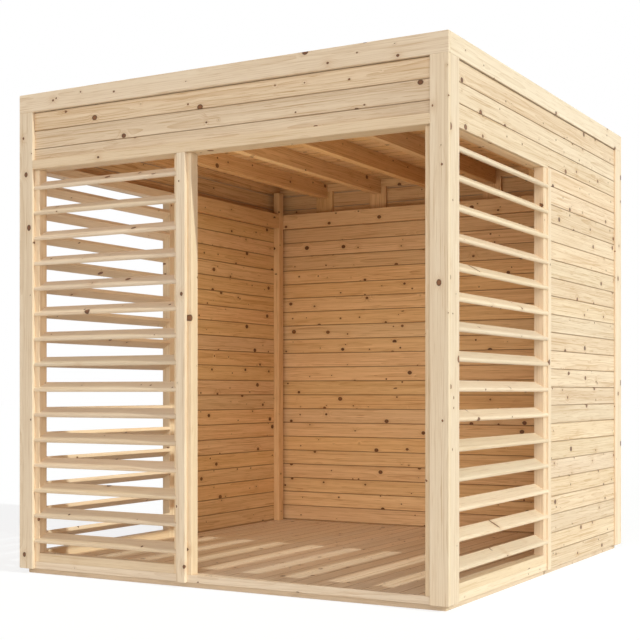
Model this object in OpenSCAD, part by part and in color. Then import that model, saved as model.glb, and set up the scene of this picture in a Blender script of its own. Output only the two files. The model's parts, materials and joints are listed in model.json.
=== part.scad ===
// Flat-roofed garden pavilion of softwood boards on a low timber floor.
// The front (-Y) has a louvred bay and an open doorway. Each side is louvred
// in its front half and boarded in its rear half. The back is boarded.
// The origin is on the ground at the middle of the plan. Millimetres, +Z up.

/* [Overall] */
// Width over the side trims, along X
width = 2340; // [1800:10:3000]
// Depth over the front and back trims, along Y
depth = 2340; // [1800:10:3000]
// Height of the wall boards, from their bottom edge to the top of the fascia
wall_height = 2335; // [2150:5:2800]
// Gap between the ground and the bottom edge of the wall boards
ground_gap = 25; // [10:1:35]

/* [Floor] */
// Height of the floor joists
joist_height = 42; // [40:1:120]
// Width of a floor joist
joist_width = 45; // [30:1:80]
// Number of joists that run from front to back
joist_count = 6; // [4:1:10]
// Thickness of the floor boards
floor_thickness = 18; // [15:1:30]

/* [Openings] */
// Height of the doorway and louvres, from the bottom edge of the wall boards
opening_top = 1963; // [1800:1:2000]
// Middle of the front mid post, from the left corner
mid_post = 990; // [700:1:1300]
// Width of the front stiles beside the corners
corner_stile = 55; // [35:1:80]
// Width of each stile at the front mid post
mid_stile = 48; // [35:1:80]
// Width of the front stile of a side louvre
side_front_stile = 47; // [35:1:80]
// Width of the rear stile of a side louvre
side_rear_stile = 60; // [35:1:90]
// Depth of the louvre and door frames
frame_depth = 50; // [40:1:70]
// Height of the louvre frames' bottom rail
rail_height = 43; // [30:1:60]
// Height of the header over the doorway and louvres
header_height = 45; // [40:1:80]
// Reach of the front header into the room, from the frames' front
front_header_depth = 82; // [60:1:110]
// Reach of a side header into the room, from the frames' front
side_header_depth = 80; // [60:1:110]

/* [Louvres] */
// Number of slats in each louvred bay
slat_count = 15; // [8:1:20]
// Width of a slat
slat_width = 70; // [50:1:80]
// Thickness of a slat
slat_thickness = 21; // [10:1:22]
// Angle of a slat above level, towards the room
slat_angle = 30; // [15:1:50]
// How far a slat's nose stands in front of its frame
slat_reach = 10; // [0:1:10]
// Clear gap below the lowest slat
slat_gap_below = 48; // [20:1:90]
// Clear gap above the highest slat
slat_gap_above = 51; // [20:1:90]

/* [Walls] */
// Thickness of the outer boards
cladding = 18; // [12:1:25]
// Depth of the studs between outer boards and lining
stud_depth = 24; // [18:1:60]
// Width of a stud
stud_width = 45; // [30:1:80]
// Number of studs in each boarded side wall
side_stud_count = 3; // [2:1:6]
// Number of studs in the back wall, between its corners
back_stud_count = 5; // [2:1:8]
// Thickness of the inner lining boards
lining = 16; // [12:1:25]
// How far the lining rises above the bottom edge of the crown boards on the front
lining_rise = 14; // [0:1:30]
// Width of the inner post in each rear corner, along X
inner_post_width = 42; // [30:1:80]
// Depth of the inner post in each rear corner, along Y
inner_post_depth = 50; // [35:1:120]
// Height of the rails round the top of the lining
inner_rail_height = 90; // [60:1:100]
// How far the back's inner rail stands out from the lining
back_rail_depth = 34; // [20:1:60]

/* [Trims] */
// Thickness of the trims and fascia on the front and back
front_trim = 18; // [10:1:25]
// Thickness of the trims and fascia on the sides
side_trim = 10; // [10:1:25]
// Width of the corner trims
trim_width = 86; // [60:1:120]
// Height of the fascia
fascia_height = 90; // [60:1:120]
// Width of the trim on the front mid post
mid_trim = 50; // [40:1:90]
// Width of the strip between the halves of a side wall
side_strip = 38; // [30:1:60]

/* [Roof] */
// Number of ceiling beams
beam_count = 5; // [3:1:8]
// Width of a ceiling beam
beam_width = 50; // [35:1:80]
// Height of a ceiling beam
beam_height = 92; // [60:1:120]
// Thickness of the roof boards
deck_thickness = 18; // [15:1:30]
// Thickness of the roof membrane
membrane = 3; // [2:1:6]
// Height of the rim of the crown above the roof membrane
rim_height = 104; // [60:1:150]
// Height of the ledger under the edge of the roof boards
ledger_height = 48; // [30:1:60]
// Thickness of the ledgers and of the blocks behind the beam ends
ledger = 20; // [15:1:40]
// Width of the block behind each beam end
block_width = 120; // [60:1:150]

/* [Hidden] */
$fn = 48;

// Levels above the ground
floor_top = joist_height + floor_thickness;
crown_top = ground_gap + wall_height;
opening_z = ground_gap + opening_top;
header_z = opening_z + header_height;
lining_z = header_z + lining_rise;
fascia_z = crown_top - fascia_height;
roof_z = crown_top - rim_height;
deck_z = roof_z - membrane - deck_thickness;
beam_z = deck_z - beam_height;
ledger_z = deck_z - ledger_height;

// Faces of the side and front walls, measured in from their trims' faces
side_board = side_trim + cladding;
side_inner = side_board + stud_depth + lining;
end_board = front_trim + cladding;
end_inner = end_board + stud_depth + lining;

// The front corner posts are square, as deep as the frames that meet there
front_post = frame_depth;

// Faces of the rear inner posts, from the front, and the bottom of the inner rails
inner_post_back = depth - end_inner - back_rail_depth;
inner_post_front = inner_post_back - inner_post_depth;
inner_rail_z = lining_z - inner_rail_height;

// Edges of the front openings, from the left corner
front_left = side_trim + front_post;
louvre_left = front_left + corner_stile;
louvre_right = mid_post - mid_stile;
door_left = mid_post + mid_stile;
door_right = width - louvre_left;

// Edges of a side louvre, from the front corner
side_start = front_trim + front_post;
side_middle = depth / 2;
side_front = side_start + side_front_stile;
side_rear = side_middle - side_rear_stile;

// Heights of the slats
slat_z = floor_top + rail_height + slat_gap_below;
slat_rise = slat_thickness / 2 + (slat_width - slat_thickness / 2) * sin(slat_angle)
    + slat_thickness / 2 * cos(slat_angle);
slat_pitch = (opening_z - slat_gap_above - slat_rise - slat_z) / (slat_count - 1);

beam_pitch = width / (beam_count + 1);
joist_pitch = (width - 2 * side_board - joist_width) / (joist_count - 1);

timber_front = "#dcbf9f";
timber_side = "#f0dfba";
timber_inner = "#c08a54";
felt = "#4b4d4f";

// A wall's own coordinates: u runs along the wall, v into the building and z up.
// Each placer below takes pieces from them to one wall of the pavilion.
module on_front() {
    translate([-width / 2, -depth / 2, 0]) children();
}

module on_back() {
    translate([-width / 2, depth / 2, 0]) mirror([0, 1, 0]) children();
}

module on_right() {
    translate([width / 2, -depth / 2, 0]) rotate([0, 0, 90]) children();
}

module on_left() {
    mirror([1, 0, 0]) on_right() children();
}

// A straight piece of timber between two limits along u, v and z
module timber(u, v, z) {
    translate([u[0], v[0], z[0]])
        cube([u[1] - u[0], v[1] - v[0], z[1] - z[0]]);
}

// Floor

module rim_joists() {
    color(timber_front) {
        on_front() rim_joist();
        on_back() rim_joist();
    }
}

module rim_joist() {
    timber([side_board, width - side_board], [end_board, end_board + joist_width], [0, joist_height]);
}

module floor_joists() {
    near = end_board + joist_width;
    color(timber_side) on_front()
        for (i = [0 : joist_count - 1])
            let (u = side_board + i * joist_pitch)
                timber([u, u + joist_width], [near, depth - near], [0, joist_height]);
}

module floor_boards() {
    color(timber_inner) on_front()
        timber([side_board, width - side_board], [end_board, depth - end_board],
            [joist_height, floor_top]);
}

// Posts and door frame

module corner_posts() {
    color(timber_inner) {
        on_right() side_corner_posts();
        on_left() side_corner_posts();
    }
}

module side_corner_posts() {
    front_corner_post();
    rear_corner_post();
}

module front_corner_post() {
    timber([front_trim, front_trim + front_post], [side_trim, side_trim + front_post],
        [floor_top, opening_z]);
}

module rear_corner_post() {
    timber([depth - end_inner, depth - end_board], [side_board, side_inner], [floor_top, lining_z]);
}

module rear_inner_posts() {
    color(timber_inner) {
        on_right() rear_inner_post();
        on_left() rear_inner_post();
    }
}

module rear_inner_post() {
    timber([inner_post_front, inner_post_back], [side_inner, side_inner + inner_post_width],
        [floor_top, ledger_z]);
}

// Rails round the top of the lining. They carry the inner posts.

module inner_rails() {
    color(timber_inner) {
        on_right() side_inner_rail();
        on_left() side_inner_rail();
        on_back()
            timber([side_inner, width - side_inner], [end_inner, end_inner + back_rail_depth],
                [inner_rail_z, lining_z]);
    }
}

module side_inner_rail() {
    timber([side_middle, inner_post_front], [side_inner, side_inner + inner_post_width],
        [inner_rail_z, lining_z]);
}

module door_jambs() {
    color(timber_side) on_front() {
        frame_stile(mid_post, door_left, front_trim);
        frame_stile(door_right, width - front_left, front_trim);
    }
}

// An upright of a frame that stands on the floor, from u0 to u1
module frame_stile(u0, u1, front) {
    timber([u0, u1], [front, front + frame_depth], [floor_top, opening_z]);
}

// Louvres

module louvre_rail(u0, u1, front) {
    timber([u0, u1], [front, front + frame_depth], [floor_top, floor_top + rail_height]);
}

// The slats of a bay between stiles at u0 and u1. In front of the frame they
// run on past the stiles, to the trims at lap0 and lap1.
module louvre_slats(u0, u1, lap0, lap1, front) {
    for (i = [0 : slat_count - 1])
        difference() {
            translate([lap0, front, slat_z + i * slat_pitch])
                rotate([90, 0, 90])
                    linear_extrude(lap1 - lap0) slat_profile();
            notch(lap0, u0, front);
            notch(u1, lap1, front);
        }
}

// Clears the room behind the lap at a slat's end, from u0 to u1
module notch(u0, u1, front) {
    timber([u0, u1], [front, front + 2 * slat_width], [0, crown_top]);
}

// Section of a slat in v and z, with a round nose at its low outer edge
module slat_profile() {
    nose = slat_thickness / 2;
    translate([nose - slat_reach, nose]) rotate(slat_angle) {
        circle(nose);
        translate([0, -nose]) square([slat_width - nose, slat_thickness]);
    }
}

module front_louvre_stiles() {
    color(timber_inner) on_front() {
        frame_stile(front_left, louvre_left, front_trim);
        frame_stile(louvre_right, mid_post, front_trim);
    }
}

module front_louvre_rail() {
    color(timber_front) on_front() louvre_rail(louvre_left, louvre_right, front_trim);
}

module front_louvre_slats() {
    color(timber_front) on_front()
        louvre_slats(louvre_left, louvre_right, trim_width, mid_post - mid_trim / 2, front_trim);
}

module side_louvre_stiles() {
    frame_stile(side_start, side_front, side_trim);
    frame_stile(side_rear, side_middle, side_trim);
}

module side_louvre_slats() {
    louvre_slats(side_front, side_rear, front_trim + trim_width,
        side_middle - side_strip / 2, side_trim);
}

module right_louvre_stiles() {
    color(timber_inner) on_right() side_louvre_stiles();
}

module right_louvre_rail() {
    color(timber_side) on_right() louvre_rail(side_front, side_rear, side_trim);
}

module right_louvre_slats() {
    color(timber_side) on_right() side_louvre_slats();
}

module left_louvre_stiles() {
    color(timber_inner) on_left() side_louvre_stiles();
}

module left_louvre_rail() {
    color(timber_inner) on_left() louvre_rail(side_front, side_rear, side_trim);
}

module left_louvre_slats() {
    color(timber_inner) on_left() side_louvre_slats();
}

// Boards below the louvres and across the doorway, over the edge of the floor

module front_plinth() {
    color(timber_front) on_front()
        timber([side_board, width - side_board], [front_trim, end_board], [ground_gap, floor_top]);
}

module side_plinths() {
    color(timber_side) {
        on_right() side_plinth();
        on_left() side_plinth();
    }
}

module side_plinth() {
    timber([front_trim, side_middle], [side_trim, side_board], [ground_gap, floor_top]);
}

// Headers

module front_header() {
    color(timber_front) on_front() {
        timber([trim_width, width - trim_width], [0, end_board], [opening_z, header_z]);
        timber([side_board, width - side_board], [front_trim, front_trim + front_header_depth],
            [opening_z, header_z]);
    }
}

module side_header() {
    timber([front_trim + front_header_depth, side_middle],
        [side_board, side_trim + side_header_depth], [opening_z, header_z]);
}

module side_headers() {
    color(timber_side) {
        on_right() side_header();
        on_left() side_header();
    }
}

// Boarded walls

module side_wall_boards() {
    timber([side_middle, depth - front_trim], [side_trim, side_board], [ground_gap, crown_top]);
}

module side_wall_lining() {
    timber([side_middle, depth - end_inner], [side_board + stud_depth, side_inner],
        [floor_top, lining_z]);
}

module right_wall_boards() {
    color(timber_side) on_right() side_wall_boards();
}

module right_wall_lining() {
    color(timber_inner) on_right() side_wall_lining();
}

module left_wall_boards() {
    color(timber_front) on_left() side_wall_boards();
}

module left_wall_lining() {
    color(timber_inner) on_left() side_wall_lining();
}

module back_wall_boards() {
    color(timber_front) on_back()
        timber([side_board, width - side_board], [front_trim, end_board], [ground_gap, crown_top]);
}

module back_wall_lining() {
    color(timber_inner) on_back()
        timber([side_inner, width - side_inner], [end_board + stud_depth, end_inner],
            [floor_top, lining_z]);
}

// Studs between the outer boards and the lining, from u0 to u1
module studs(u0, u1, v, count) {
    pitch = (u1 - u0 - stud_width) / (count - 1);
    for (i = [0 : count - 1])
        let (u = u0 + i * pitch)
            timber([u, u + stud_width], [v, v + stud_depth], [floor_top, lining_z]);
}

module side_studs() {
    studs(side_middle, depth - end_inner - stud_width, side_board, side_stud_count);
}

module wall_studs() {
    color(timber_inner) {
        on_right() side_studs();
        on_left() side_studs();
        on_back()
            studs(side_inner + stud_width, width - side_inner - stud_width, end_board,
                back_stud_count);
    }
}

// Crown above the openings

module front_crown_boards() {
    color(timber_front) on_front()
        timber([side_board, width - side_board], [front_trim, end_board], [header_z, crown_top]);
}

module side_crown_boards() {
    color(timber_side) {
        on_right() side_crown();
        on_left() side_crown();
    }
}

module side_crown() {
    timber([front_trim, side_middle], [side_trim, side_board], [opening_z, crown_top]);
}

module end_fascia() {
    timber([0, width], [0, front_trim], [fascia_z, crown_top]);
}

module side_fascia() {
    timber([front_trim, depth - front_trim], [0, side_trim], [fascia_z, crown_top]);
}

module front_fascia() {
    color(timber_front) on_front() end_fascia();
}

module back_fascia() {
    color(timber_front) on_back() end_fascia();
}

module side_fascias() {
    color(timber_side) {
        on_right() side_fascia();
        on_left() side_fascia();
    }
}

// Corner trims: a board on the end wall and one on the side wall

module end_trim() {
    timber([0, trim_width], [0, front_trim], [ground_gap, fascia_z]);
}

module side_trim_board() {
    timber([front_trim, front_trim + trim_width], [0, side_trim], [ground_gap, fascia_z]);
}

module front_left_trim() {
    color(timber_front) {
        on_front() end_trim();
        on_left() side_trim_board();
    }
}

module front_right_trim() {
    mirror([1, 0, 0]) front_left_trim();
}

module back_left_trim() {
    mirror([0, 1, 0]) front_left_trim();
}

module back_right_trim() {
    mirror([1, 0, 0]) back_left_trim();
}

module front_mid_trim() {
    color(timber_front) on_front()
        timber([mid_post - mid_trim / 2, mid_post + mid_trim / 2], [0, front_trim],
            [ground_gap, opening_z]);
}

module side_strip_board() {
    timber([side_middle - side_strip / 2, side_middle + side_strip / 2], [0, side_trim],
        [ground_gap, opening_z]);
}

module side_strips() {
    color(timber_side) {
        on_right() side_strip_board();
        on_left() side_strip_board();
    }
}

// Roof

module ceiling_beams() {
    end = end_board + ledger;
    color(timber_inner) on_front()
        for (i = [1 : beam_count])
            let (u = i * beam_pitch)
                timber([u - beam_width / 2, u + beam_width / 2], [end, depth - end], [beam_z, deck_z]);
}

module end_blocks() {
    for (i = [1 : beam_count])
        let (u = i * beam_pitch)
            timber([u - block_width / 2, u + block_width / 2], [end_board, end_board + ledger],
                [lining_z, ledger_z]);
}

module beam_blocks() {
    color(timber_inner) {
        on_front() end_blocks();
        on_back() end_blocks();
    }
}

module end_ledgers() {
    color(timber_inner) {
        on_front() end_ledger();
        on_back() end_ledger();
    }
}

module end_ledger() {
    timber([side_board, width - side_board], [end_board, end_board + ledger], [ledger_z, deck_z]);
}

module side_ledgers() {
    color(timber_inner) {
        on_right() side_ledger();
        on_left() side_ledger();
    }
}

module side_ledger() {
    timber([end_board + ledger, depth - end_board - ledger], [side_board, side_board + ledger],
        [ledger_z, deck_z]);
}

module roof_deck() {
    color(timber_inner) roof_layer(deck_z, deck_thickness);
}

module roof_membrane() {
    color(felt) roof_layer(deck_z + deck_thickness, membrane);
}

// A flat layer that fills the crown from wall to wall
module roof_layer(z, thickness) {
    on_front()
        timber([side_board, width - side_board], [end_board, depth - end_board], [z, z + thickness]);
}

rim_joists();
floor_joists();
floor_boards();
corner_posts();
rear_inner_posts();
inner_rails();
door_jambs();
front_louvre_stiles();
front_louvre_rail();
front_louvre_slats();
right_louvre_stiles();
right_louvre_rail();
right_louvre_slats();
left_louvre_stiles();
left_louvre_rail();
left_louvre_slats();
front_plinth();
side_plinths();
front_header();
side_headers();
right_wall_boards();
right_wall_lining();
left_wall_boards();
left_wall_lining();
back_wall_boards();
back_wall_lining();
wall_studs();
front_crown_boards();
side_crown_boards();
front_fascia();
back_fascia();
side_fascias();
front_right_trim();
front_left_trim();
back_right_trim();
back_left_trim();
front_mid_trim();
side_strips();
ceiling_beams();
beam_blocks();
end_ledgers();
side_ledgers();
roof_deck();
roof_membrane();
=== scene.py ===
# Looks of the garden pavilion: every board is its own piece of softwood, with
# its own grain and knots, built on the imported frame. Metres, +Z up, -Y front.
import json
import math
import random

import bmesh
import bpy
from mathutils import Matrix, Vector


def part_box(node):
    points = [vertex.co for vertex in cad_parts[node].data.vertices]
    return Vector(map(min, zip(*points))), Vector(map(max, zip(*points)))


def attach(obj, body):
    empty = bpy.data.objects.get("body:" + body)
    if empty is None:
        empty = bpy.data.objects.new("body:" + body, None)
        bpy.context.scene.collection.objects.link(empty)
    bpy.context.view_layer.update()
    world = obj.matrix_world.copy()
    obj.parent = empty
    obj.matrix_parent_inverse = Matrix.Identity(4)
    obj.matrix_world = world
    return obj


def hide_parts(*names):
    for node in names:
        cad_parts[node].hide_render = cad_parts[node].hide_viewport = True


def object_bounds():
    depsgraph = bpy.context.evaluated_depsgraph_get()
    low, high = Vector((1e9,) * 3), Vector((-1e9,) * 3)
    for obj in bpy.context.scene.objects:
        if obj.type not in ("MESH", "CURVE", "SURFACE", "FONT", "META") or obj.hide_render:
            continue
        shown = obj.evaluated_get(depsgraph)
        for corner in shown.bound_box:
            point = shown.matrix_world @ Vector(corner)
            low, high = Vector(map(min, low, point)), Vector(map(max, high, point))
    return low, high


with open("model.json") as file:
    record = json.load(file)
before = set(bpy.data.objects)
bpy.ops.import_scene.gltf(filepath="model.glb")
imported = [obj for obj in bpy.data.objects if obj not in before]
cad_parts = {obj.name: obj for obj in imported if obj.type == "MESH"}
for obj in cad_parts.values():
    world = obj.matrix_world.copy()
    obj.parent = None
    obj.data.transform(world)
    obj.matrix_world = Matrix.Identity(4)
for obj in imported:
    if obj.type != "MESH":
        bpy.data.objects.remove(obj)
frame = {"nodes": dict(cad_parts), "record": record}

cad_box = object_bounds()
HALF_X = cad_box[1].x
HALF_Y = cad_box[1].y
WALL_SKIN = 0.05  # trims and outer boards lie within this of the outermost faces


# ---------------------------------------------------------------- the frame

def islands(node):
    """Boxes of a CAD node's separate solids as (lowest, highest), in order of place."""
    mesh = frame["nodes"][node].data
    spot = [tuple(round(c, 4) for c in v.co) for v in mesh.vertices]
    parent = {p: p for p in spot}

    def root(p):
        while parent[p] != p:
            parent[p] = parent[parent[p]]
            p = parent[p]
        return p

    for face in mesh.polygons:
        first = root(spot[face.vertices[0]])
        for i in face.vertices[1:]:
            parent[root(spot[i])] = first
    groups = {}
    for p in set(spot):
        groups.setdefault(root(p), []).append(p)
    boxes = [
        tuple(Vector(end(p[i] for p in g) for i in range(3)) for end in (min, max))
        for g in groups.values()
    ]
    return sorted(boxes, key=lambda b: tuple(round(c, 4) for c in b[0]))


def show(name, data):
    """A new object in the scene."""
    made = bpy.data.objects.new(name, data)
    bpy.context.scene.collection.objects.link(made)
    return made


# ---------------------------------------------------------------- materials

class Tree:
    """The nodes of a material or a world, with short ways to add and join them."""

    def __init__(self, owner):
        owner.use_nodes = True
        self.owner = owner
        self.tree = owner.node_tree
        self.tree.nodes.clear()

    def put(self, socket, value):
        if isinstance(value, bpy.types.NodeSocket):
            self.tree.links.new(value, socket)
        else:
            socket.default_value = value

    def node(self, kind, values=None, **settings):
        made = self.tree.nodes.new("ShaderNode" + kind)
        for key, value in settings.items():
            setattr(made, key, value)
        for key, value in (values or {}).items():
            self.put(made.inputs[key], value)
        return made

    def math(self, operation, a, b=0.0, clamp=False):
        return self.node("Math", {0: a, 1: b}, operation=operation, use_clamp=clamp).outputs[0]

    def vector(self, operation, a, b=(0.0, 0.0, 0.0)):
        return self.node("VectorMath", {0: a, 1: b}, operation=operation).outputs[0]

    def spread(self, value, low, high, to_low=0.0, to_high=1.0, smooth=False):
        """value from low..high to to_low..to_high, held at the ends."""
        return self.node(
            "MapRange",
            {"Value": value, "From Min": low, "From Max": high, "To Min": to_low, "To Max": to_high},
            interpolation_type="SMOOTHSTEP" if smooth else "LINEAR",
        ).outputs[0]

    def noise(self, vector, stretch, detail):
        """Noise's value and its colour, with stretch waves a metre along each axis."""
        place = self.vector("MULTIPLY", vector, stretch)
        made = self.node(
            "TexNoise", {"Vector": place, "Scale": 1.0, "Detail": detail, "Roughness": 0.55}
        )
        return made.outputs["Fac"], made.outputs["Color"]

    def mix(self, factor, a, b):
        made = self.node("Mix", data_type="RGBA", clamp_factor=True)
        self.put(made.inputs[0], factor)
        self.put(made.inputs[6], a)
        self.put(made.inputs[7], b)
        return made.outputs[2]

    def split(self, vector):
        return self.node("SeparateXYZ", {"Vector": vector}).outputs

    def seen(self):
        """1 where the camera sees the surface, straight or by way of another one."""
        ray = self.node("LightPath").outputs
        seen = self.math("ADD", ray["Is Camera Ray"], ray["Is Glossy Ray"], clamp=True)
        return self.math("ADD", seen, ray["Is Transmission Ray"], clamp=True)

    def finish(self, colour, roughness, height, distance, gloss):
        bump = self.node("Bump", {"Strength": 0.6, "Distance": distance, "Height": height})
        shader = self.node(
            "BsdfPrincipled",
            {
                "Base Color": colour,
                "Roughness": roughness,
                "Normal": bump.outputs[0],
                "Specular IOR Level": gloss,
            },
        )
        self.node("OutputMaterial", {"Surface": shader.outputs[0]})
        return self.owner


RING = 0.0046  # a year's growth
KNOT_ROW = 0.105  # the width and depth of wood that holds one knot
LARGE_KNOT = 0.0095
SMALL_KNOT = 0.0040


def wood(name, pale, deep, knots=0.5, contrast=1.0, rough=0.58, inner=None, seam=0.5):
    """Planed spruce. Each plank's 'grain' attribute is its own place: x along the
    plank, y and z away from the heart of the log. 'tone' is four chances. Where
    'inner' is given, faces marked 'inward' take that pale and deep colour instead,
    a warmer orange copy of the wood that is painted shade for inside the room.
    Faces marked 'joint' are darker by 'seam': painted shade and dirt in the grooves."""
    t = Tree(bpy.data.materials.new(name))
    grain = t.node("Attribute", attribute_name="grain").outputs["Vector"]
    chances = t.node("Attribute", attribute_name="tone")
    tone = t.split(chances.outputs["Color"])

    # Knots: branches that run out from the heart, so each is one chance in a
    # stretch of the plank and shows on whichever faces it passes
    knot, rim, around = 0.0, 0.0, 0.0
    for pitch, widest, chance, seed in (
        (0.31, LARGE_KNOT, knots, 3.7),
        (0.17, SMALL_KNOT, knots * 0.9, 11.3),
    ):
        cell = t.vector("MULTIPLY", grain, (1 / pitch, 1 / KNOT_ROW, 1 / KNOT_ROW))
        cell = t.vector("ADD", cell, (seed, seed, seed))
        spots = t.node("TexVoronoi", {"Vector": cell, "Scale": 1.0, "Randomness": 0.85})
        luck = t.split(spots.outputs["Color"])
        away = t.vector("SUBTRACT", cell, spots.outputs["Position"])
        away = t.split(t.vector("MULTIPLY", away, (pitch, KNOT_ROW, KNOT_ROW)))
        # The branch leans: it runs across the width a little as it goes through
        side = t.math("ADD", away[1], t.math("MULTIPLY", away[2], 0.35))
        dx = t.math("MULTIPLY", away[0], 0.80)
        ragged = t.noise(grain, (170.0, 170.0, 60.0), 1.0)[0]
        size = t.math("ADD", t.math("MULTIPLY", luck[0], widest), widest * 0.35)
        dist = t.math("SQRT", t.math("ADD", t.math("MULTIPLY", dx, dx), t.math("MULTIPLY", side, side)))
        dist = t.math("ADD", dist, t.math("MULTIPLY", t.math("SUBTRACT", ragged, 0.5), 0.0022))
        here = t.math("LESS_THAN", luck[1], chance)
        reach = t.math("DIVIDE", dist, size)
        body = t.math("MULTIPLY", here, t.spread(reach, 0.86, 1.10, 1.0, 0.0, smooth=True))
        edge = t.math("MULTIPLY", t.spread(reach, 0.45, 0.92, smooth=True), body)
        near = t.math("DIVIDE", dist, widest * 2.2)
        near = t.math("EXPONENT", t.math("MULTIPLY", t.math("MULTIPLY", near, near), -1.0))
        near = t.math("MULTIPLY", near, here)
        knot = t.math("MAXIMUM", knot, body)
        rim = t.math("MAXIMUM", rim, edge)
        around = t.math("MAXIMUM", around, t.math("MULTIPLY", near, widest / LARGE_KNOT))

    # Growth rings round the heart, pushed outwards where a knot passes
    sway = t.noise(grain, (0.9, 5.0, 5.0), 2.0)[1]
    sway = t.vector("MULTIPLY", t.vector("SUBTRACT", sway, (0.5, 0.5, 0.5)), (0.0, 0.03, 0.03))
    place = t.split(t.vector("ADD", grain, sway))
    square = [t.math("MULTIPLY", place[i], place[i]) for i in (1, 2)]
    radius = t.math("SQRT", t.math("ADD", *square))
    radius = t.math("ADD", radius, t.math("MULTIPLY", around, 0.011))
    turn = t.math("DIVIDE", radius, RING)
    late = t.math("POWER", t.math("FRACT", turn), 2.6)
    year = t.node("TexWhiteNoise", {"W": t.math("FLOOR", turn)}, noise_dimensions="1D")
    late = t.math("MULTIPLY", late, t.spread(year.outputs["Value"], 0.0, 1.0, 0.25, 1.0))

    streak = t.noise(grain, (1.3, 42.0, 42.0), 3.0)[0]
    line = t.noise(grain, (2.2, 150.0, 150.0), 2.0)[0]
    fibre = t.noise(grain, (16.0, 900.0, 900.0), 2.0)[0]
    line = t.spread(line, 0.57, 0.68, smooth=True)
    ticks = t.noise(grain, (7.0, 330.0, 330.0), 1.0)[0]
    ticks = t.spread(ticks, 0.62, 0.70, smooth=True)

    dark = t.math("MULTIPLY", late, 0.45 * contrast)
    dark = t.math("ADD", dark, t.math("MULTIPLY", t.spread(streak, 0.35, 0.75), 0.36 * contrast))
    dark = t.math("ADD", dark, t.math("MULTIPLY", line, 0.38 * contrast))
    dark = t.math("ADD", dark, t.math("MULTIPLY", ticks, 0.55 * contrast))
    dark = t.math("ADD", dark, t.math("MULTIPLY", t.math("SUBTRACT", fibre, 0.5), 0.26))
    dark = t.math("ADD", dark, 0.02, clamp=True)
    colour = t.mix(dark, pale, deep)
    # Painted shade: faces that look into the room take an orange copy of the wood, for the warm shade
    # inside
    if inner:
        inward = t.node("Attribute", attribute_name="inward").outputs["Fac"]
        colour = t.mix(inward, colour, t.mix(dark, *inner))
    colour = t.node(
        "HueSaturation",
        {
            "Hue": t.spread(tone[1], 0.0, 1.0, 0.4965, 0.5015),
            "Saturation": t.spread(tone[2], 0.0, 1.0, 0.95, 1.06),
            "Value": t.spread(tone[0], 0.0, 1.0, 0.92, 1.03),
            "Color": colour,
        },
    ).outputs[0]

    # Round a knot the wood is a little browner, and the knot itself is nearly black-brown
    colour = t.mix(t.math("MULTIPLY", around, 0.30), colour, (0.46, 0.235, 0.085, 1))
    heart = t.mix(chances.outputs["Alpha"], (0.110, 0.034, 0.010, 1), (0.23, 0.085, 0.028, 1))
    heart = t.mix(t.math("MULTIPLY", rim, 0.80), heart, (0.040, 0.013, 0.005, 1))
    colour = t.mix(t.math("MULTIPLY", knot, 0.95), colour, heart)

    # Painted shade and dirt in the joints: chamfers, tongues and grooves turn dark brown by 'seam', for
    # the shade that falls in the grooves
    joint = t.node("Attribute", attribute_name="joint").outputs["Fac"]
    colour = t.mix(t.math("MULTIPLY", joint, seam), colour, (0.26, 0.125, 0.045, 1))

    height = t.math("ADD", t.math("MULTIPLY", late, 0.5), t.math("MULTIPLY", fibre, 0.7))
    height = t.math("SUBTRACT", height, t.math("MULTIPLY", rim, 0.8))
    roughness = t.math("SUBTRACT", rough, t.math("MULTIPLY", knot, 0.12))
    roughness = t.math("ADD", roughness, t.math("MULTIPLY", t.math("SUBTRACT", streak, 0.5), 0.15))
    return t.finish(colour, roughness, height, 0.0005, 0.30)


def felt(name):
    """Dark roofing sheet with fine mineral grains."""
    t = Tree(bpy.data.materials.new(name))
    grain = t.node("Attribute", attribute_name="grain").outputs["Vector"]
    speck = t.node("TexVoronoi", {"Vector": grain, "Scale": 900.0})
    patch = t.noise(grain, (3.0, 3.0, 3.0), 4.0)[0]
    grains = t.split(speck.outputs["Color"])[0]
    colour = t.mix(grains, (0.055, 0.057, 0.062, 1), (0.12, 0.122, 0.127, 1))
    colour = t.mix(t.spread(patch, 0.4, 0.7, 0.0, 0.35), colour, (0.16, 0.16, 0.155, 1))
    roughness = t.spread(patch, 0.3, 0.7, 0.78, 0.92)
    return t.finish(colour, roughness, speck.outputs["Distance"], 0.0006, 0.3)


PALE = (0.80, 0.635, 0.445, 1)
DEEP = (0.55, 0.36, 0.195, 1)
# An orange copy of the wood, painted shade: it stands for the warm shaded light inside the room, on the
# lining, the ceiling and the inward faces of boards and trims
INNER_SHADE = ((0.84, 0.565, 0.285, 1), (0.50, 0.255, 0.092, 1))
# 'seam' sets how dark the painted shade and dirt in the joints is
MATERIALS = {
    "cladding": wood("cladding", PALE, DEEP, contrast=1.3, inner=INNER_SHADE, seam=0.28),
    "trim": wood("trim", (0.81, 0.66, 0.48, 1), (0.60, 0.42, 0.25, 1), knots=0.42, inner=INNER_SHADE),
    "slats": wood("slats", (0.81, 0.65, 0.46, 1), (0.60, 0.41, 0.24, 1), knots=0.30, contrast=0.8),
    "frame": wood("frame", (0.81, 0.63, 0.42, 1), (0.60, 0.40, 0.21, 1), knots=0.32, contrast=0.85),
    "lining": wood("lining", *INNER_SHADE, knots=0.60, seam=0.62),
    "floor_boards": wood("floor_boards", (0.82, 0.665, 0.49, 1), (0.60, 0.42, 0.25, 1), knots=0.42),
    "floor_frame": wood(
        "floor_frame", (0.74, 0.58, 0.41, 1), (0.54, 0.38, 0.23, 1), knots=0.3, rough=0.72,
    ),
    "ceiling": wood("ceiling", *INNER_SHADE, knots=0.42, contrast=1.1, seam=0.62),
    "membrane": felt("membrane"),
}
SLOT = {s["node"]: s["material_slot"] for s in frame["record"]["subparts"]}


# ---------------------------------------------------------------- planks

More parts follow.
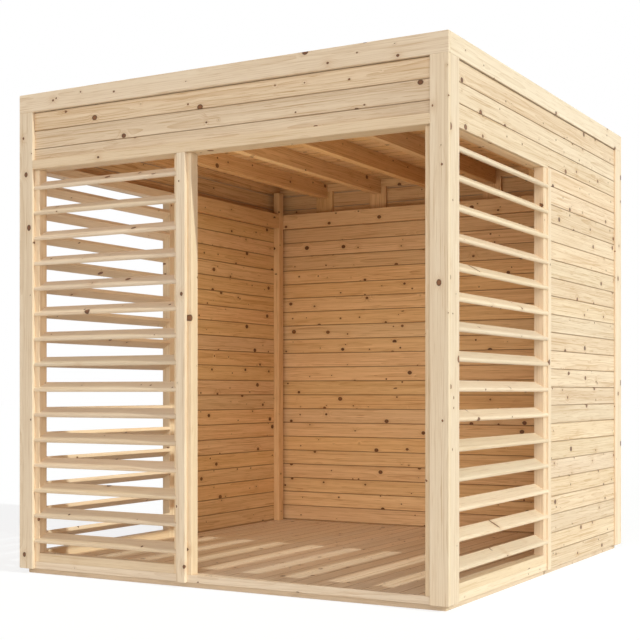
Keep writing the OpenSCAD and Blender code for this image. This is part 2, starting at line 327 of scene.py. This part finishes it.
class Piece:
    """One visible piece made of planks, which replaces a CAD node."""

    def __init__(self, node):
        self.node = node
        self.verts, self.faces, self.grain, self.tone = [], [], [], []
        self.joint = set()

    def begin(self, key, axes):
        """A new plank's luck from its key: where its grain starts, how far off its
        heart lies and its tone."""
        luck = random.Random(f"pavilion {key}")
        start, aside = luck.uniform(0, 30), luck.uniform(-0.05, 0.05)
        self.shift = [start, aside, luck.choice((-1, 1)) * luck.uniform(0.035, 0.10)]
        self.luck = tuple(luck.random() for _ in range(4))
        self.axes = axes

    def centre(self, wide, deep):
        """Counts the plank's grain places from its middle, across and through it."""
        self.shift[1] -= wide
        self.shift[2] -= deep

    def add(self, points):
        """Adds corners, and their grain places along, across and through the plank.
        Returns the first one's number."""
        first = len(self.verts)
        for p in points:
            self.verts.append(tuple(p))
            self.grain.append([p[a] + s for a, s in zip(self.axes, self.shift)])
            self.tone.append(self.luck)
        return first

    def prism(self, rings, faces_seen=None):
        """Skin over rings of equal length, closed at both ends. Where faces_seen is
        given, the other sides lie in a joint."""
        n = len(rings[0])
        starts = [self.add(r) for r in rings]
        for a, b in zip(starts, starts[1:]):
            for i in range(n):
                j = (i + 1) % n
                # Sides that lie in a joint are marked for the painted shade and dirt of the groove
                if faces_seen is not None and i not in faces_seen:
                    self.joint.add(len(self.faces))
                self.faces.append((a + i, a + j, b + j, b + i))
        self.faces.append(tuple(starts[0] + i for i in reversed(range(n))))
        self.faces.append(tuple(starts[-1] + i for i in range(n)))

    def build(self):
        mesh = bpy.data.meshes.new(self.node)
        mesh.from_pydata(self.verts, [], self.faces)
        grain = mesh.attributes.new("grain", "FLOAT_VECTOR", "POINT")
        grain.data.foreach_set("vector", [c for g in self.grain for c in g])
        tone = mesh.attributes.new("tone", "FLOAT_COLOR", "POINT")
        tone.data.foreach_set("color", [c for g in self.tone for c in g])
        mesh.attributes.new("inward", "FLOAT", "FACE")
        joint = mesh.attributes.new("joint", "FLOAT", "FACE")
        joint.data.foreach_set("value", [float(i in self.joint) for i in range(len(self.faces))])
        slot = SLOT[self.node]
        mesh.materials.append(MATERIALS[slot])
        made = show(self.node + "_timber", mesh)
        bm = bmesh.new()
        bm.from_mesh(mesh)
        bmesh.ops.recalc_face_normals(bm, faces=bm.faces)
        bm.to_mesh(mesh)
        bm.free()
        # Faces that look into the room from behind the outer skin are marked for the painted inner
        # shade
        for face, mark in zip(mesh.polygons, mesh.attributes["inward"].data):
            behind = -(face.center.x * face.normal.x + face.center.y * face.normal.y)
            mark.value = float(behind > HALF_X - WALL_SKIN)
        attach(made, "root")
        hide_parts(self.node)


def rounded(a0, a1, b0, b1, r):
    """Corners of a rectangle in two axes, each corner rounded with two flats."""
    k = r * (1 - math.sqrt(0.5))
    return [
        (a0, b0 + r), (a0 + k, b0 + k), (a0 + r, b0), (a1 - r, b0), (a1 - k, b0 + k), (a1, b0 + r),
        (a1, b1 - r), (a1 - k, b1 - k), (a1 - r, b1), (a0 + r, b1), (a0 + k, b1 - k), (a0, b1 - r),
    ]


def board(piece, key, box, along, r=0.0018):
    """A planed length of timber that fills box, its long edges and ends eased."""
    lo, hi = box
    others = [a for a in range(3) if a != along]
    wide, deep = sorted(others, key=lambda a: lo[a] - hi[a])
    piece.begin(key, (along, wide, deep))
    piece.centre((lo[wide] + hi[wide]) / 2, (lo[deep] + hi[deep]) / 2)
    rings = []
    for place, ease in ((lo[along], 1), (lo[along] + r, 0), (hi[along] - r, 0), (hi[along], 1)):
        inset = r * 0.6 * ease
        sides = (lo[wide] + inset, hi[wide] - inset, lo[deep] + inset, hi[deep] - inset)
        ring = []
        for a, b in rounded(*sides, r):
            p = [0.0] * 3
            p[along], p[wide], p[deep] = place, a, b
            ring.append(p)
        rings.append(ring)
    piece.prism(rings)


TONGUE = 0.006
GROOVE_GAP = 0.0022
TIP_PLAY = 0.0006  # from the tongue's tip to the bottom of its groove
FACE_PLAY = 0.0002  # on each of the tongue's faces
CHAMFER = 0.0020
NARROWEST = 0.004  # a joint nearer than this to a sheet's edge makes no board


def matchboard(piece, key, box, along, across, tongue=True, groove=True):
    """One tongue-and-groove board in box. Its far edge along 'across' carries the tongue."""
    lo, hi = box
    deep = 3 - along - across
    a0, a1, b0, b1 = lo[across], hi[across], lo[deep], hi[deep]
    middle = (b0 + b1) / 2
    third = (b1 - b0) / 6
    top = a1 - (GROOVE_GAP if tongue else 0)
    c = CHAMFER
    profile = [(a0 + c, b0), (top - c, b0), (top, b0 + c)]
    if tongue:
        tip = a1 + TONGUE
        under, over = middle - third, middle + third
        profile += [(top, under), (tip, under), (tip, over), (top, over)]
    profile += [(top, b1 - c), (top - c, b1), (a0 + c, b1), (a0, b1 - c)]
    if groove:
        w = third + FACE_PLAY
        end = a0 + TONGUE + TIP_PLAY
        profile += [(a0, middle + w), (end, middle + w), (end, middle - w), (a0, middle - w)]
    profile.append((a0, b0 + c))
    piece.begin(key, (along, across, deep))
    piece.centre((a0 + a1) / 2, middle)
    rings = []
    for place in (lo[along], hi[along]):
        ring = []
        for a, b in profile:
            p = [0.0] * 3
            p[along], p[across], p[deep] = place, a, b
            ring.append(p)
        rings.append(ring)
    back = profile.index((top - c, b1))
    piece.prism(rings, faces_seen=(0, back))


def panel(node, family, along, across, joints):
    """A node's sheet as boards that meet at joints. family names the wall, so that a
    board keeps its grain from node to node."""
    piece = Piece(node)
    sheets = islands(node)
    for lo, hi in sheets:
        inside = [j for j in joints if lo[across] + NARROWEST < j < hi[across] - NARROWEST]
        edges = [lo[across], *sorted(inside), hi[across]]
        side = family if len(sheets) == 1 else family + ("left" if lo.x < 0 else "right")
        for i, (a, b) in enumerate(zip(edges, edges[1:])):
            start, end = lo.copy(), hi.copy()
            start[across], end[across] = a, b
            key = f"{side} {round(b * 1000)}"
            last = i == len(edges) - 2
            matchboard(piece, key, (start, end), along, across, tongue=not last, groove=i > 0)
    piece.build()


def timbers(node, along=None):
    """Each solid of a node as one length of timber."""
    piece = Piece(node)
    for i, (lo, hi) in enumerate(islands(node)):
        run = along if along is not None else max(range(3), key=lambda a: hi[a] - lo[a])
        board(piece, f"{node} {i}", (lo, hi), run)
    piece.build()


# ---------------------------------------------------------------- walls and floor

X, Y, Z = 0, 1, 2
PITCH = 0.09
ROWS = range(26)
fascia_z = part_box("front_fascia")[0].z
outer_joints = [fascia_z - PITCH * i for i in ROWS]
lining_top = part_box("back_wall_lining")[1].z
inner_joints = [lining_top - PITCH * i for i in ROWS[1:]]

panel("back_wall_boards", "back", X, Z, outer_joints)
panel("right_wall_boards", "right", Y, Z, outer_joints)
panel("left_wall_boards", "left", Y, Z, outer_joints)
panel("front_crown_boards", "front", X, Z, outer_joints)
panel("side_crown_boards", "", Y, Z, outer_joints[:3])
panel("back_wall_lining", "back inner", X, Z, inner_joints)
panel("right_wall_lining", "right inner", Y, Z, inner_joints)
panel("left_wall_lining", "left inner", Y, Z, inner_joints)

floor_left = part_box("floor_boards")[0].x
panel("floor_boards", "floor", Y, X, [floor_left + PITCH * i for i in ROWS[1:]])
deck_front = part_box("roof_deck")[0].y
panel("roof_deck", "deck", X, Y, [deck_front + PITCH * i for i in ROWS[1:]])

for node in (
    "rim_joists", "floor_joists", "corner_posts", "rear_inner_posts", "inner_rails",
    "door_jambs",
    "front_louvre_stiles", "front_louvre_rail", "right_louvre_stiles", "right_louvre_rail",
    "left_louvre_stiles", "left_louvre_rail", "front_plinth", "side_plinths", "side_headers",
    "wall_studs", "front_fascia", "back_fascia", "side_fascias", "front_mid_trim", "side_strips",
    "ceiling_beams", "end_ledgers", "side_ledgers",
):
    timbers(node)
timbers("beam_blocks", along=Z)

lo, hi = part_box("front_fascia")
end_trim = hi.y - lo.y
lo, hi = islands("side_fascias")[0]
side_trim = hi.x - lo.x


def corner_trim(node):
    """An end board that laps over the edge of a side board."""
    lo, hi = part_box(node)
    piece = Piece(node)
    front, right = lo.y < 0, hi.x > 0
    seam = lo.y + end_trim if front else hi.y - end_trim
    end_lo, end_hi, side_lo, side_hi = lo.copy(), hi.copy(), lo.copy(), hi.copy()
    if front:
        end_hi.y = side_lo.y = seam
    else:
        end_lo.y = side_hi.y = seam
    if right:
        side_lo.x = hi.x - side_trim
    else:
        side_hi.x = lo.x + side_trim
    board(piece, node + " end", (end_lo, end_hi), Z)
    board(piece, node + " side", (side_lo, side_hi), Z)
    piece.build()


for node in ("front_left_trim", "front_right_trim", "back_left_trim", "back_right_trim"):
    corner_trim(node)

# The front header: a rail flush with the trims, and the plank behind it
lo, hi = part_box("front_header")
trim_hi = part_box("front_left_trim")[1]
trim_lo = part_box("front_right_trim")[0]
piece = Piece("front_header")
seam = lo.y + end_trim
rail = (Vector((trim_hi.x, lo.y, lo.z)), Vector((trim_lo.x, seam, hi.z)))
board(piece, "header rail", rail, X)
board(piece, "header plank", (Vector((lo.x, seam, lo.z)), hi), X)
piece.build()


# ---------------------------------------------------------------- louvres

SLAT_WIDE, SLAT_THICK, SLAT_ANGLE = 0.070, 0.021, math.radians(30)
SLAT_MIDDLE = (0.030, 0.025)  # inwards from its nose and up from its bottom


def slat_section():
    """Corners of a slat's section: v into the building, z up, its low outer edge round."""
    r = SLAT_THICK / 2
    ease = 0.0015
    flats = 12  # round the nose
    points = []
    for i in range(flats + 1):
        a = math.pi / 2 + math.pi * i / flats
        points.append((r * math.cos(a), r * math.sin(a)))
    end = SLAT_WIDE - r
    points += [(end - ease, -r), (end, -r + ease), (end, r - ease), (end - ease, r)]
    c, s = math.cos(SLAT_ANGLE), math.sin(SLAT_ANGLE)
    return [(v * c - z * s, v * s + z * c) for v, z in points]


def clip(points, v, keep_low):
    """The part of a section on one side of v, and whether each corner lies on the cut."""
    out = []
    for (v0, z0), (v1, z1) in zip(points, points[1:] + points[:1]):
        inside0, inside1 = (v0 <= v, v1 <= v) if keep_low else (v0 >= v, v1 >= v)
        if inside0:
            out.append((v0, z0, False))
        if inside0 != inside1:
            z = z0 + (z1 - z0) * (v - v0) / (v1 - v0)
            out.append((v, z, True))
    return out


def slats(node, stiles, along, place, unplace, front):
    """Slats that stand between two stiles and pass in front of them to the trims.
    place takes a point from along the wall, inwards and up to the frame's axes, and
    unplace gives the first two of those back. front is how far in the stiles start."""
    piece = Piece(node)
    inward = Y if along == X else X
    section = slat_section()
    v_min = min(v for v, z in section)
    z_min = min(z for v, z in section)
    stile_u = sorted(unplace(end)[0] for box in islands(stiles) for end in box)
    u0, u1 = stile_u[1], stile_u[2]
    for number, (lo, hi) in enumerate(islands(node)):
        a, b = unplace(lo), unplace(hi)
        laps = sorted((a[0], b[0]))
        v_lo, z_lo = min(a[1], b[1]), lo.z
        shape = [(v - v_min + v_lo, z - z_min + z_lo) for v, z in section]
        nose = clip(shape, front, True)
        body = clip(shape, front, False)
        middle = place(0, v_lo + SLAT_MIDDLE[0], z_lo + SLAT_MIDDLE[1])
        piece.begin(f"{node} {number}", (along, Z, inward))
        piece.centre(middle[Z], middle[inward])
        stations = [laps[0], u0, u1, laps[1]]
        rings = [piece.add([place(u, v, z) for v, z, cut in nose]) for u in stations]
        n = len(nose)
        for s in range(3):
            for i in range(n):
                j = (i + 1) % n
                if s == 1 and nose[i][2] and nose[j][2]:
                    continue
                p, q = rings[s], rings[s + 1]
                piece.faces.append((p + i, p + j, q + j, q + i))
        piece.faces.append(tuple(rings[0] + i for i in range(n)))
        piece.faces.append(tuple(rings[3] + i for i in range(n)))
        # The body shares the nose's corners on the cut, at both stiles
        shared = {round(z, 6): i for i, (v, z, cut) in enumerate(nose) if cut}
        loops = []
        for s, u in ((1, u0), (2, u1)):
            loop = []
            for v, z, cut in body:
                if cut:
                    loop.append(rings[s] + shared[round(z, 6)])
                else:
                    loop.append(piece.add([place(u, v, z)]))
            loops.append(loop)
        for i in range(len(body)):
            j = (i + 1) % len(body)
            if body[i][2] and body[j][2]:
                continue
            piece.faces.append((loops[0][i], loops[0][j], loops[1][j], loops[1][i]))
        piece.faces.append(tuple(loops[0]))
        piece.faces.append(tuple(loops[1]))
    piece.build()


slats(
    "front_louvre_slats", "front_louvre_stiles", X,
    lambda u, v, z: (u, v - HALF_Y, z), lambda p: (p[0], p[1] + HALF_Y), end_trim,
)
slats(
    "right_louvre_slats", "right_louvre_stiles", Y,
    lambda u, v, z: (HALF_X - v, u, z), lambda p: (p[1], HALF_X - p[0]), side_trim,
)
slats(
    "left_louvre_slats", "left_louvre_stiles", Y,
    lambda u, v, z: (v - HALF_X, u, z), lambda p: (p[1], p[0] + HALF_X), side_trim,
)


# ---------------------------------------------------------------- roof sheet

lo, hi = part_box("roof_membrane")
piece = Piece("roof_membrane")
strip = (hi.y - lo.y) / 3
for i in range(3):
    # The middle strip laps over both its neighbours, so it stands higher
    top = hi.z if i == 1 else (lo.z + hi.z) / 2
    near = lo.y + i * strip
    sheet = (Vector((lo.x, near, lo.z)), Vector((hi.x, near + strip, top)))
    board(piece, f"felt {i}", sheet, X, r=0.0005)
piece.build()


# ---------------------------------------------------------------- stage, light and camera

def stage_floor():
    """A wide white floor that keeps a faint shadow. Light that bounces off it meets
    plain pale ground."""
    mesh = bpy.data.meshes.new("ground")
    s = 60.0  # half its width
    mesh.from_pydata([(-s, -s, 0), (s, -s, 0), (s, s, 0), (-s, s, 0)], [], [(0, 1, 2, 3)])
    made = show("ground", mesh)
    t = Tree(bpy.data.materials.new("ground"))
    faint = t.node("BsdfDiffuse", {"Color": (0.30, 0.30, 0.30, 1)})
    glow = t.node("Emission", {"Color": (1, 1, 1, 1), "Strength": 0.77})
    backdrop = t.node("AddShader", {0: faint.outputs[0], 1: glow.outputs[0]})
    ground = t.node("BsdfDiffuse", {"Color": (0.93, 0.93, 0.93, 1)})
    both = t.node("MixShader", {0: t.seen(), 1: ground.outputs[0], 2: backdrop.outputs[0]})
    t.node("OutputMaterial", {"Surface": both.outputs[0]})
    mesh.materials.append(t.owner)


def sky():
    """Even light from all round. The camera sees it as white."""
    world = bpy.data.worlds.new("studio")
    bpy.context.scene.world = world
    t = Tree(world)
    light = t.node("Background", {"Color": (1.0, 0.965, 0.955, 1), "Strength": 0.32})
    white = t.node("Background", {"Color": (1, 1, 1, 1)})
    both = t.node("MixShader", {0: t.seen(), 1: light.outputs[0], 2: white.outputs[0]})
    t.node("OutputWorld", {"Surface": both.outputs[0]})


def lamp(name, energy, angle, colour, travel):
    light = bpy.data.lights.new(name, "SUN")
    light.energy = energy
    light.angle = math.radians(angle)
    light.color = colour
    made = show(name, light)
    travel = Vector(travel)
    made.rotation_euler = travel.to_track_quat("-Z", "Y").to_euler()
    made.location = travel * -6


def room_lamp():
    """Soft light at the middle of the room, for the light that the pale boards pass about."""
    light = bpy.data.lights.new("room", "POINT")
    light.energy = 9.8
    light.shadow_soft_size = 0.45
    light.color = (1.0, 0.93, 0.77)
    made = show("room", light)
    made.location = (-0.30, -0.35, 1.40)
    made.visible_camera = False
    made.visible_glossy = False


def camera():
    lens = bpy.data.cameras.new("camera")
    lens.sensor_width = 36
    lens.lens = 68.13
    lens.shift_x = -0.0995
    lens.shift_y = 0.1121
    made = show("camera", lens)
    made.location = (3.2404, -5.6107, 0.8958)
    made.rotation_euler = (math.radians(90), 0, math.radians(28.07))
    bpy.context.scene.camera = made


stage_floor()
sky()
lamp("sun", 2.36, 0.7, (0.90, 1.0, 0.97), (-1.0, 0.07, -0.515))
lamp("front fill", 1.62, 50, (1.0, 0.965, 0.955), (-0.40, 0.88, -0.24))
room_lamp()
camera()
bpy.context.scene.view_settings.view_transform = "Standard"
